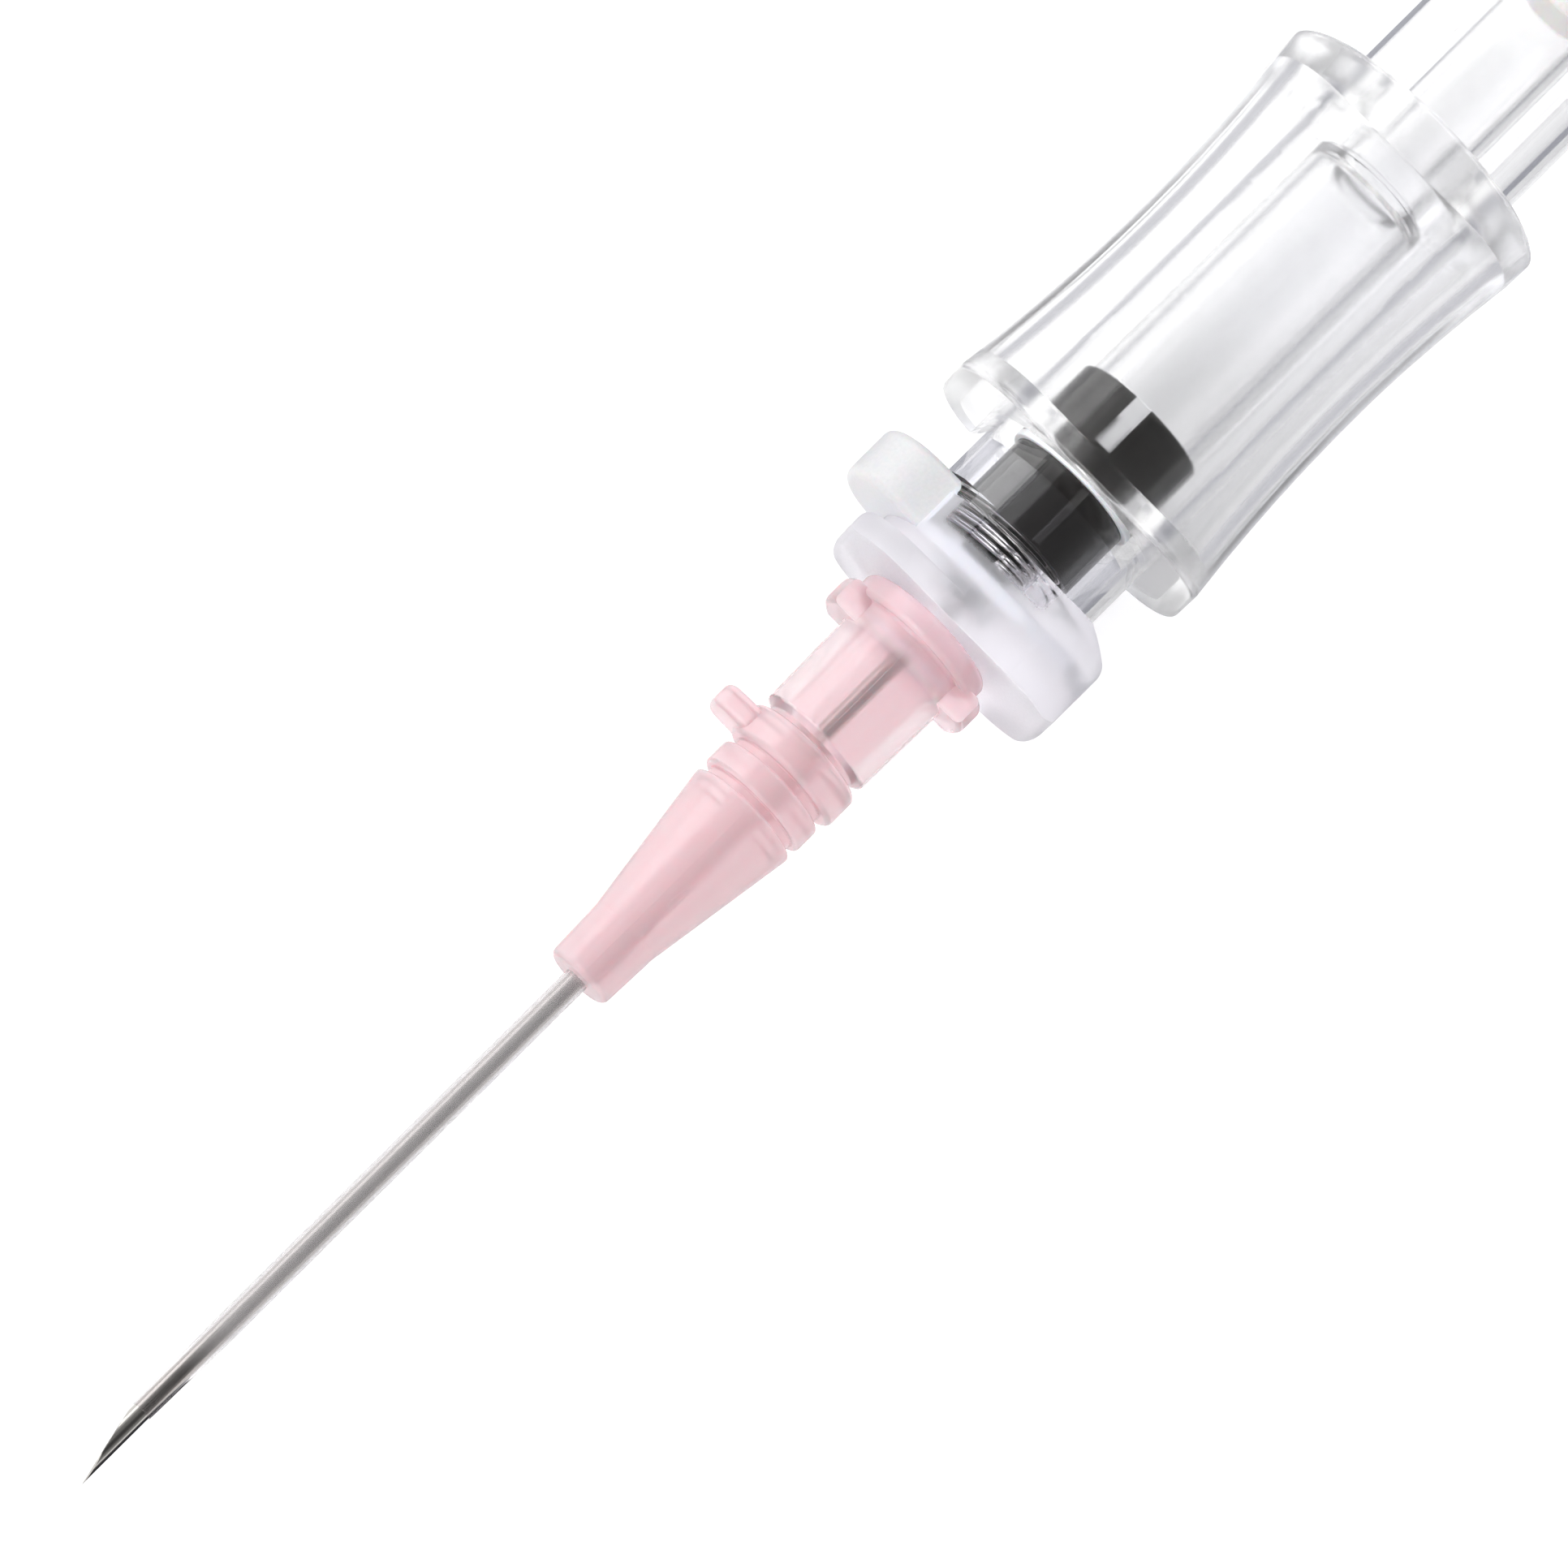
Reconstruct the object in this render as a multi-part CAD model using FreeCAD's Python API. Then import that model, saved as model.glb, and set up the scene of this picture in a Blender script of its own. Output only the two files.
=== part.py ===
import FreeCAD, Part
import math
import os

# A safety cannula with a needle that a spring draws back, lying on its grip.
# Millimetres. X runs from the needle's tip to the rear, Y to the button's side, Z up.
# The origin lies on the surface under the middle of the grip.

# Clearances
bond_gap = 0.01
press_gap = 0.02
slide_gap = 0.08
taper_gap = 0.05
seat_gap = 0.08

# Roundings of moulded edges, how far a fused detail is rooted in its wall, and how far a cut overshoots
crisp = 0.08
fine_round = 0.15
edge_round = 0.3
soft_round = 0.5
root = 0.2
overshoot = 1.0

# Needle
needle_od = 0.82
needle_bore = 0.56
bevel_angle = 13.0
lancet_angle = 19.0
lancet_turn = 38.0
needle_lead = 3.9
needle_tail = 0.4

# Catheter tube
catheter_length = 25.4
catheter_od = 1.10
catheter_bore = 0.88
catheter_edge_od = 0.93
catheter_taper = 4.8
flare_slope = 0.7

# Metal eyelet that spreads the tube's end inside the hub
eyelet_length = 3.7
eyelet_bore = 0.96
eyelet_wall = 0.13
eyelet_mouth_od = 1.9
eyelet_mouth_length = 0.7
eyelet_proud = 0.28
eyelet_edge = 0.04

# Catheter hub, from its nose to its open end
hub_nose_length = 2.8
hub_nose_od = 3.05
hub_nose_round = 0.8
hub_cone_start_od = 3.25
hub_cone_length = 7.0
hub_cone_od = 5.26
hub_groove_od = 4.55
hub_groove_width = 0.42
hub_ring_width = 1.22
hub_ring_round = 0.42
hub_collar_od = 5.66
hub_collar_width = 1.6
hub_dip_width = 0.3
hub_dip_slope = 0.25
hub_neck_length = 5.85
hub_neck_start_od = 5.36
hub_neck_end_od = 5.6
hub_rim_od = 6.66
hub_rim_width = 1.08
lug_span = 7.83
lug_width = 2.9
lug_length = 1.4
lug_overhang = 0.27
tab_reach = 4.23
tab_width = 3.0
tab_thickness = 1.15
tab_inset = 0.16
tab_draft = 0.25
tab_corner = 0.7
tab_edge = 0.34
luer_mouth = 4.30
luer_taper = 0.06
luer_depth = 6.9

# Nose housing
boss_length = 1.7
flange_front_thickness = 1.1
flange_length = 4.1
button_wall = 2.0
flange_low_reach = 6.33
flange_button_reach = 5.33
flange_half_depth = 4.7
flange_corner = 2.7
flange_front_round = 0.7
flange_rear_slant = 0.8
needle_hole = 1.04
front_wall = 1.15
spigot_length = 3.0
spigot_bore = 6.6
spring_wall = 0.34

# Push button and its latch plate
button_thickness = 2.7
button_half_width = 3.0
button_top = 7.0
button_top_corner = 2.6
button_edge = 0.45
button_travel = 1.5
plate_thickness = 0.6
plate_half_width = 2.6
plate_low_reach = 3.2
plate_corner = 1.2

# Needle hub
catch_od = 2.4
catch_length = 0.85
catch_nose_od = 1.7
neck_od = 1.7
post_od = 3.1
sleeve_wall = 0.3
sleeve_gap = 0.1
sleeve_length = 3.7
hub_base_od = 6.34
hub_base_thickness = 1.15
socket_depth = 2.65
socket_wall = 0.4
rib_width = 0.5
rib_height = 0.17
rib_foot = 0.09
rib_side = 0.42
rib_front_inset = 0.15
rib_rear_inset = 0.5
window_width = 0.8
window_side = 0.33
panel_width = 1.05
panel_side = 0.78
panel_depth = 0.12
panel_rear_inset = 0.3
opening_inset = 0.1

# Flash chamber and its vent plug
chamber_od = 5.8
chamber_wall = 0.55
chamber_length = 13.9
shoulder_round = 0.6
chamber_tail_od = 4.54
chamber_tail_wall = 0.5
chamber_tail_length = 12.9
plug_length = 2.0
plug_inset = 0.3

# Retraction spring
spring_od = 5.1
spring_wire = 0.36
spring_turns = 11.5

# Barrel
barrel_od = 9.13
barrel_wall = 0.665
bare_barrel = 4.0
retract_travel = 54.0
tail_room = 0.5

# Grip
grip_length = 21.2
grip_end_width = 13.66
grip_waist_width = 12.4
grip_depth = 10.8
grip_corner = 2.9
grip_rear_bulge = 1.0
grip_side_wall = 0.9
grip_end_wall = 1.2
grip_edge = 0.3

# End cap
cap_plug_length = 2.6
cap_plug_wall = 0.8
cap_flange_thickness = 1.3
cap_vent = 1.6
cap_edge = 0.35

# Positions along the axis, worked out from the grip's middle
axis_z = grip_depth / 2
grip_front = -grip_length / 2
grip_rear = grip_length / 2
flange_rear = grip_front - bare_barrel
flange_front = flange_rear - flange_length
hub_rear = flange_front - seat_gap
hub_length = (
    hub_nose_length
    + hub_cone_length
    + 2 * hub_groove_width
    + hub_ring_width
    + hub_collar_width
    + hub_dip_width
    + hub_neck_length
    + hub_rim_width
)
hub_front = hub_rear - hub_length
catheter_tip = hub_front - catheter_length
needle_tip = catheter_tip - needle_lead
luer_floor = hub_rear - luer_depth
button_front = flange_front + button_wall + slide_gap
plate_rear = button_front + plate_thickness
spring_wall_front = plate_rear + slide_gap
spring_seat = spring_wall_front + spring_wall
catch_front = button_front - slide_gap / 2 - catch_length
barrel_front = flange_rear
sleeve_front = button_front + button_thickness + slide_gap
base_front = sleeve_front + sleeve_length
base_rear = base_front + hub_base_thickness
needle_hub_rear = base_rear + socket_depth
needle_rear = base_rear + needle_tail
chamber_shoulder_x = needle_hub_rear + chamber_length
chamber_rear = chamber_shoulder_x + chamber_tail_length
barrel_rear = chamber_rear + retract_travel + tail_room + cap_plug_length
barrel_bore = barrel_od - 2 * barrel_wall
spring_radius = (spring_od - spring_wire) / 2
sleeve_od = spring_od + 2 * (sleeve_gap + sleeve_wall)

V = FreeCAD.Vector
ALONG = V(1, 0, 0)
AXIS_POINT = V(0, 0, axis_z)


def rounded_wire(corners, place):
    """A closed wire through (u, v, corner radius) points; place turns (u, v) into a point in space."""
    count = len(corners)
    arcs = []
    for i in range(count):
        here = V(corners[i][0], corners[i][1], 0)
        before = V(corners[i - 1][0], corners[i - 1][1], 0) - here
        after = V(corners[(i + 1) % count][0], corners[(i + 1) % count][1], 0) - here
        half_turn = before.getAngle(after) / 2
        room = 0.49 * min(before.Length, after.Length)
        reach = min(corners[i][2] / math.tan(half_turn), room)
        before.normalize()
        after.normalize()
        start = here + before * reach
        end = here + after * reach
        if reach < 1e-6:
            arcs.append((here, None, here))
            continue
        inward = before + after
        inward.normalize()
        radius = reach * math.tan(half_turn)
        middle = here + inward * (radius / math.sin(half_turn) - radius)
        arcs.append((start, middle, end))
    edges = []
    for i in range(count):
        start, middle, end = arcs[i]
        if middle is not None:
            edges.append(Part.Arc(place(start), place(middle), place(end)).toShape())
        following = arcs[(i + 1) % count][0]
        if (following - end).Length > 1e-6:
            edges.append(Part.LineSegment(place(end), place(following)).toShape())
    return Part.Wire(edges)


def turned(corners):
    """A solid turned about the needle's axis from (x, radius) or (x, radius, corner radius) points."""
    full = [(c[0], c[1], c[2] if len(c) > 2 else 0.0) for c in corners]
    wire = rounded_wire(full, lambda p: V(p.x, 0, axis_z + p.y))
    return Part.Face(wire).revolve(AXIS_POINT, ALONG, 360)


def extruded_along_x(corners, front, rear):
    """A bar from front to rear whose section is given as (y, height over the axis, corner radius)."""
    wire = rounded_wire(corners, lambda p: V(front, p.x, axis_z + p.y))
    return Part.Face(wire).extrude(V(rear - front, 0, 0))


def extruded_up(corners, low, high):
    """A plate between two heights over the axis whose plan is given as (x, y, corner radius)."""
    wire = rounded_wire(corners, lambda p: V(p.x, p.y, axis_z + low))
    return Part.Face(wire).extrude(V(0, 0, high - low))


def rod(front, rear, diameter, side=0.0):
    """A cylinder along X, moved towards the button by side."""
    return Part.makeCylinder(diameter / 2, rear - front, V(front, side, axis_z), ALONG)


def block(front, rear, right, left, low, high):
    """A box between two places along X, along Y and in height over the axis."""
    corner = V(front, right, axis_z + low)
    return Part.makeBox(rear - front, left - right, high - low, corner)


def section_rectangle(right, left, half_depth, corner):
    """The corners of a rounded rectangle across the axis."""
    return [
        (right, -half_depth, corner),
        (left, -half_depth, corner),
        (left, half_depth, corner),
        (right, half_depth, corner),
    ]


def bore_at(x):
    """The diameter of the hub's tapered bore at x."""
    return luer_mouth - luer_taper * (hub_rear - x)


def needle():
    """Steel tube ground to a slant facing the button, with two side facets that meet in a point."""
    tube = rod(needle_tip, needle_rear, needle_od)
    tube = tube.cut(rod(needle_tip - overshoot, needle_rear + overshoot, needle_bore))
    toe = V(needle_tip, -needle_od / 2, axis_z)
    size = 8 * needle_od
    for angle, turn in (
        (bevel_angle, 0.0),
        (lancet_angle, lancet_turn),
        (lancet_angle, -lancet_turn),
    ):
        wedge = Part.makeBox(3 * size, size, 2 * size, V(-1.5 * size, 0, -size))
        wedge.rotate(V(0, 0, 0), V(0, 0, 1), angle)
        wedge.rotate(V(0, 0, 0), ALONG, turn)
        wedge.translate(toe)
        tube = tube.cut(wedge)
    return tube


def catheter_tube():
    """Soft tube that tapers onto the needle and is spread over the eyelet at its rear end."""
    outer = catheter_od / 2
    inner = catheter_bore / 2
    spread = (eyelet_bore / 2 + eyelet_wall + bond_gap) - inner
    flare_start = luer_floor + eyelet_proud - eyelet_length
    flare_end = luer_floor - eyelet_mouth_length
    slope_start = flare_start - flare_slope
    return turned(
        [
            (catheter_tip, inner),
            (catheter_tip, catheter_edge_od / 2),
            (catheter_tip + catheter_taper, outer),
            (slope_start, outer),
            (flare_start, outer + spread),
            (flare_end, outer + spread),
            (flare_end, inner + spread),
            (flare_start, inner + spread),
            (slope_start, inner),
        ]
    )


def catheter_eyelet():
    """Metal ferrule with a funnel mouth, seated on the floor of the hub's bore."""
    rear = luer_floor + eyelet_proud
    front = rear - eyelet_length
    funnel = rear - eyelet_mouth_length
    inner = eyelet_bore / 2
    mouth = eyelet_mouth_od / 2
    return turned(
        [
            (front, inner),
            (front, inner + eyelet_wall),
            (funnel, inner + eyelet_wall),
            (rear, mouth, eyelet_edge),
            (rear, mouth - eyelet_wall, eyelet_edge),
            (funnel, inner),
        ]
    )


def catheter_hub():
    """Coloured hub: nose, cone, grip ring, push-off tab, neck and two thread lugs, with a tapered bore."""
    nose_rear = hub_front + hub_nose_length
    cone_rear = nose_rear + hub_cone_length
    ring_front = cone_rear + hub_groove_width
    ring_rear = ring_front + hub_ring_width
    collar_front = ring_rear + hub_groove_width
    collar_rear = collar_front + hub_collar_width
    neck_front = collar_rear + hub_dip_width
    neck_rear = neck_front + hub_neck_length
    groove = hub_groove_od / 2
    cone = hub_cone_od / 2
    collar = hub_collar_od / 2
    rim = hub_rim_od / 2
    tube_hole = catheter_od / 2 + bond_gap
    spread_hole = eyelet_bore / 2 + eyelet_wall + (catheter_od - catheter_bore) / 2 + 2 * bond_gap
    flare_start = luer_floor + eyelet_proud - eyelet_length
    funnel = luer_floor + eyelet_proud - eyelet_mouth_length
    mouth = eyelet_mouth_od / 2 + bond_gap
    body = turned(
        [
            (hub_front, tube_hole),
            (hub_front, hub_nose_od / 2, edge_round),
            (nose_rear, hub_cone_start_od / 2, hub_nose_round),
            (cone_rear, cone, soft_round),
            (cone_rear, groove, crisp),
            (ring_front, groove, crisp),
            (ring_front, cone, hub_ring_round),
            (ring_rear, cone, hub_ring_round),
            (ring_rear, groove, crisp),
            (collar_front, groove, crisp),
            (collar_front, collar, edge_round),
            (collar_rear, collar, soft_round),
            (collar_rear, groove, crisp),
            (neck_front, groove, crisp),
            (neck_front + hub_dip_slope, hub_neck_start_od / 2, fine_round),
            (neck_rear, hub_neck_end_od / 2, fine_round),
            (neck_rear, rim, edge_round),
            (hub_rear, rim, edge_round),
            (hub_rear, luer_mouth / 2, crisp),
            (luer_floor, bore_at(luer_floor) / 2),
            (luer_floor, mouth),
            (funnel, spread_hole),
            (flare_start, spread_hole),
            (flare_start - flare_slope, tube_hole),
        ]
    )
    lug_rear = neck_rear + lug_overhang
    lug_front = lug_rear - lug_length
    lugs = turned(
        [
            (lug_front, hub_neck_start_od / 2),
            (lug_front, lug_span / 2, edge_round),
            (lug_rear, lug_span / 2, edge_round),
            (lug_rear, hub_neck_start_od / 2),
        ]
    )
    lugs = lugs.common(block(lug_front, lug_rear, -lug_span, lug_span, -lug_width / 2, lug_width / 2))
    tab_root = groove - root
    tab_front = collar_front + tab_inset
    tab = extruded_along_x(
        [
            (tab_root, -tab_width / 2, 0),
            (tab_root, tab_width / 2, 0),
            (tab_reach, tab_width / 2 - tab_draft, tab_corner),
            (tab_reach, tab_draft - tab_width / 2, tab_corner),
        ],
        tab_front,
        tab_front + tab_thickness,
    )
    rims = [e for e in tab.Edges if abs(e.BoundBox.XLength) < 1e-6 and e.BoundBox.YMax > collar]
    tab = tab.makeFillet(tab_edge, rims)
    return body.fuse([lugs, tab]).removeSplitter()


def nose_housing():
    """Clear front end: luer boss, finger flange, guides for the button and a spigot for the barrel."""
    flange_step = flange_front + flange_front_thickness
    plan = [
        (flange_front, -flange_low_reach, flange_front_round),
        (flange_front, flange_button_reach, flange_front_round),
        (flange_step, flange_button_reach, edge_round),
        (flange_step, 0, 0),
        (flange_rear, 0, 0),
        (flange_rear, -barrel_od / 2, edge_round),
        (flange_rear - flange_rear_slant, -flange_low_reach, soft_round),
    ]
    section = section_rectangle(
        -flange_low_reach, flange_button_reach, flange_half_depth, flange_corner
    )
    body = extruded_along_x(section, flange_front, flange_rear)
    body = body.common(extruded_up(plan, -flange_half_depth, flange_half_depth))
    drum = rod(flange_step - root, flange_rear, barrel_od)
    boss_front = flange_front - boss_length
    boss = turned(
        [
            (boss_front, 0),
            (boss_front, bore_at(boss_front) / 2 - taper_gap, edge_round),
            (flange_front + root, bore_at(flange_front) / 2 - taper_gap),
            (flange_front + root, 0),
        ]
    )
    spigot = rod(flange_rear - root, flange_rear + spigot_length, barrel_bore - 2 * press_gap)
    body = body.fuse([drum, boss, spigot])
    slot_front = button_front - slide_gap
    cuts = [
        rod(boss_front - overshoot, flange_rear, needle_hole),
        rod(flange_front + front_wall, spring_seat, post_od + 2 * slide_gap),
        rod(spring_seat, flange_rear, spring_od + 4 * slide_gap),
        rod(flange_rear, flange_rear + spigot_length + overshoot, spigot_bore),
        block(
            slot_front,
            spring_wall_front,
            -plate_low_reach - button_travel - slide_gap,
            flange_button_reach,
            -plate_half_width - slide_gap,
            plate_half_width + slide_gap,
        ),
        button_pocket(slot_front, flange_rear),
        button_notch(flange_rear, flange_rear + spigot_length),
    ]
    return body.cut(cuts)


def button_saddle():
    """The radius of the hollow under the button, which stops short of the spring when pressed."""
    return spring_od / 2 + button_travel + 3 * slide_gap


def button_pocket(front, rear):
    """The room in the housing for the pressed button, down to a curved seat that stops it."""
    half = button_half_width + slide_gap
    pocket = block(front, rear, 0, 2 * button_top, -half, half)
    seat_width = 2 * (button_saddle() - slide_gap)
    seat = rod(front - overshoot, rear + overshoot, seat_width, -button_travel)
    return pocket.cut(seat)


def button_notch(front, rear):
    """The room for the pressed button at the front of the barrel's wall."""
    half = button_half_width + slide_gap
    reach = button_front + button_thickness + slide_gap
    low = math.sqrt(button_saddle() ** 2 - button_half_width**2) - button_travel - slide_gap
    return block(front, min(reach, rear), low, 2 * button_top, -half, half)


def push_button():
    """White button with a latch plate; the plate's keyhole grips the needle hub's neck."""
    outline = [
        (0, -button_half_width, 0),
        (button_top, -button_half_width, button_top_corner),
        (button_top, button_half_width, button_top_corner),
        (0, button_half_width, 0),
    ]
    button_rear = button_front + button_thickness
    cap = extruded_along_x(outline, button_front, button_rear)
    rims = []
    for edge in cap.Edges:
        box = edge.BoundBox
        if box.XLength < 1e-6 and box.YMax > button_saddle():
            rims.append(edge)
    cap = cap.makeFillet(button_edge, rims)
    cut_front = button_front - overshoot
    cut_rear = button_rear + overshoot
    cap = cap.cut(rod(cut_front, cut_rear, 2 * button_saddle()))
    plate = extruded_along_x(
        [
            (-plate_low_reach, -plate_half_width, plate_corner),
            (button_saddle() + root, -plate_half_width, 0),
            (button_saddle() + root, plate_half_width, 0),
            (-plate_low_reach, plate_half_width, plate_corner),
        ],
        button_front,
        plate_rear,
    )
    small_hole = neck_od + 2 * slide_gap
    large_hole = max(catch_od, post_od) + 2 * slide_gap
    keyhole = rod(cut_front, cut_rear, small_hole)
    keyhole = keyhole.fuse(rod(cut_front, cut_rear, large_hole, button_travel))
    way = block(cut_front, cut_rear, 0, button_travel, -small_hole / 2, small_hole / 2)
    return cap.fuse(plate).cut(keyhole.fuse(way)).removeSplitter()


def needle_hub():
    """Black hub: catch, neck, spring post and sleeve, and a windowed socket for the flash chamber."""
    hole = needle_od / 2 + bond_gap
    sleeve = sleeve_od / 2
    base = hub_base_od / 2
    body = turned(
        [
            (catch_front, hole),
            (catch_front, catch_nose_od / 2, crisp),
            (catch_front + catch_length / 2, catch_od / 2, crisp),
            (catch_front + catch_length, catch_od / 2),
            (catch_front + catch_length, neck_od / 2),
            (plate_rear + slide_gap, neck_od / 2),
            (plate_rear + slide_gap, post_od / 2, crisp),
            (base_front, post_od / 2),
            (base_front, sleeve - sleeve_wall),
            (sleeve_front, sleeve - sleeve_wall, crisp),
            (sleeve_front, sleeve, crisp),
            (base_front, sleeve),
            (base_front, base, fine_round),
            (needle_hub_rear, base, fine_round),
            (needle_hub_rear, base - socket_wall),
            (base_rear, base - socket_wall),
            (base_rear, hole),
        ]
    )
    for side in (1, -1):
        rib_low = -rib_side + rib_width / 2
        rib_high = -rib_side - rib_width / 2
        rib = extruded_along_x(
            [
                (rib_low, side * (sleeve - root), 0),
                (rib_low, side * (sleeve - rib_foot), 0),
                (rib_high, side * (sleeve + rib_height), 0),
                (rib_high, side * (sleeve - root), 0),
            ],
            sleeve_front + rib_front_inset,
            base_front - rib_rear_inset,
        )
        window = block(
            base_rear + opening_inset,
            needle_hub_rear + overshoot,
            window_side - window_width / 2,
            window_side + window_width / 2,
            *sorted((0, side * hub_base_od)),
        )
        panel_floor = math.sqrt(base**2 - (panel_side + panel_width / 2) ** 2) - panel_depth
        panel = block(
            base_rear + opening_inset,
            needle_hub_rear - panel_rear_inset,
            -panel_side - panel_width / 2,
            -panel_side + panel_width / 2,
            *sorted((side * panel_floor, side * hub_base_od)),
        )
        body = body.fuse(rib).cut(window).cut(panel)
    return body.removeSplitter()


def flash_chamber():
    """Clear cup behind the needle: wide in front, narrow behind, open at both ends."""
    wide = chamber_od / 2
    tail = chamber_tail_od / 2
    socket = hub_base_od / 2 - socket_wall - press_gap
    bore = wide - chamber_wall
    tail_bore = tail - chamber_tail_wall
    inner_shoulder = chamber_shoulder_x - chamber_wall
    return turned(
        [
            (base_rear + press_gap, bore),
            (base_rear + press_gap, socket, crisp),
            (needle_hub_rear + press_gap, socket),
            (needle_hub_rear + press_gap, wide, crisp),
            (chamber_shoulder_x, wide, shoulder_round),
            (chamber_shoulder_x, tail, edge_round),
            (chamber_rear, tail, fine_round),
            (chamber_rear, tail_bore),
            (inner_shoulder, tail_bore, edge_round),
            (inner_shoulder, bore, soft_round),
        ]
    )


def vent_plug():
    """Porous plug that lets air out of the flash chamber and keeps blood in."""
    radius = chamber_tail_od / 2 - chamber_tail_wall - bond_gap
    rear = chamber_rear - plug_inset
    return turned(
        [
            (rear - plug_length, 0),
            (rear - plug_length, radius, fine_round),
            (rear, radius, fine_round),
            (rear, 0),
        ]
    )


def retract_spring():
    """Wire coil pressed together between the housing's wall and the floor of the hub's sleeve."""
    front = spring_seat + spring_wire / 2 + bond_gap
    rear = base_front - spring_wire / 2 - bond_gap
    pitch = (rear - front) / spring_turns
    path = Part.makeHelix(pitch, rear - front, spring_radius)
    ring = Part.Circle(V(spring_radius, 0, 0), V(0, 1, 0), spring_wire / 2)
    profile = Part.Wire([ring.toShape()])
    coil = Part.Wire(path).makePipeShell([profile], True, True)
    coil.rotate(V(0, 0, 0), V(0, 1, 0), 90)
    coil.translate(V(front, 0, axis_z))
    return coil


def barrel_tube():
    """Long clear tube that the needle draws back into, notched in front for the button."""
    tube = turned(
        [
            (barrel_front + press_gap, barrel_bore / 2, crisp),
            (barrel_front + press_gap, barrel_od / 2, fine_round),
            (barrel_rear, barrel_od / 2, fine_round),
            (barrel_rear, barrel_bore / 2, crisp),
        ]
    )
    return tube.cut(button_notch(barrel_front - overshoot, barrel_rear))


def waisted_bar(front, rear, wall, half_depth):
    """The grip's outline less a wall at its sides: a rounded bar along X that narrows to a waist."""
    wide = grip_end_width / 2 - wall
    waist = grip_waist_width / 2 - wall
    middle = -grip_rear_bulge / 2
    half_length = (grip_length - grip_rear_bulge) / 2
    radius = (half_length**2 + (wide - waist) ** 2) / (2 * (wide - waist))
    swing = 1.2 * math.degrees(math.asin(half_length / radius))
    halves = []
    for side in (1, -1):
        sides = sorted((side * waist, -side * 2 * wide))
        section = section_rectangle(sides[0], sides[1], half_depth, grip_corner - wall)
        face = Part.Face(rounded_wire(section, lambda p: V(middle, p.x, axis_z + p.y)))
        centre = V(middle, side * (waist + radius), 0)
        face.rotate(centre, V(0, 0, 1), -swing)
        halves.append(face.revolve(centre, V(0, 0, 1), 2 * swing))
    return halves[0].common(halves[1]).common(block(front, rear, -wide, wide, -half_depth, half_depth))


def grip_sleeve():
    """Clear waisted sleeve round the barrel, hollow between two end walls, with a bowed rear end."""
    bow = (grip_end_width**2 / 4 + grip_rear_bulge**2) / (2 * grip_rear_bulge)
    body = waisted_bar(grip_front, grip_rear, 0, grip_depth / 2)
    disc = Part.makeCylinder(bow, grip_depth, V(grip_rear - bow, 0, 0))
    body = body.common(disc)
    rims = [e for e in body.Edges if e.BoundBox.XLength < 1.5 * grip_rear_bulge]
    body = body.makeFillet(grip_edge, rims)
    hollow = waisted_bar(
        grip_front + grip_end_wall,
        grip_rear - grip_rear_bulge - grip_end_wall,
        grip_side_wall,
        barrel_od / 2 + press_gap + slide_gap,
    )
    bore = rod(grip_front - overshoot, grip_rear + overshoot, barrel_od + 2 * press_gap)
    return body.cut([hollow, bore])


def end_cap():
    """Clear plug that closes the barrel, with a vent hole and a rim as deep as the grip."""
    plug = barrel_bore / 2 - press_gap
    inner = plug - cap_plug_wall
    flange = grip_depth / 2
    front = barrel_rear - cap_plug_length
    rear = barrel_rear + press_gap + cap_flange_thickness
    return turned(
        [
            (front, inner, fine_round),
            (front, plug, fine_round),
            (barrel_rear + press_gap, plug),
            (barrel_rear + press_gap, flange, cap_edge),
            (rear, flange, cap_edge),
            (rear, cap_vent / 2),
            (barrel_rear, cap_vent / 2),
            (barrel_rear, inner, edge_round),
        ]
    )


pieces = {
    "needle": needle,
    "catheter_tube": catheter_tube,
    "catheter_eyelet": catheter_eyelet,
    "catheter_hub": catheter_hub,
    "nose_housing": nose_housing,
    "push_button": push_button,
    "needle_hub": needle_hub,
    "flash_chamber": flash_chamber,
    "vent_plug": vent_plug,
    "retract_spring": retract_spring,
    "barrel_tube": barrel_tube,
    "grip_sleeve": grip_sleeve,
    "end_cap": end_cap,
}

os.makedirs("parts", exist_ok=True)
for name, make in pieces.items():
    shape = make()
    solid = shape.Solids[0] if len(shape.Solids) == 1 else shape
    solid.exportStep("parts/" + name + ".step")
    print(name, len(shape.Solids), solid.isValid(), round(solid.Volume, 3))
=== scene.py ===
# %% [markdown]
# # A safety cannula on a white table
# A thin steel needle lies inside a soft tube, the tube sits in a pink hub, and behind it a clear
# handle shows the works: a spring, a black needle hub and a flash chamber. Nearly all of it is clear
# or milky plastic, so this lesson is mostly about what light does in and behind clear walls.
# The solids come ready from the frame, with their true sizes.

# %% Load the frame
import bmesh
import bpy
import math
from mathutils import Matrix, Vector


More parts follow.
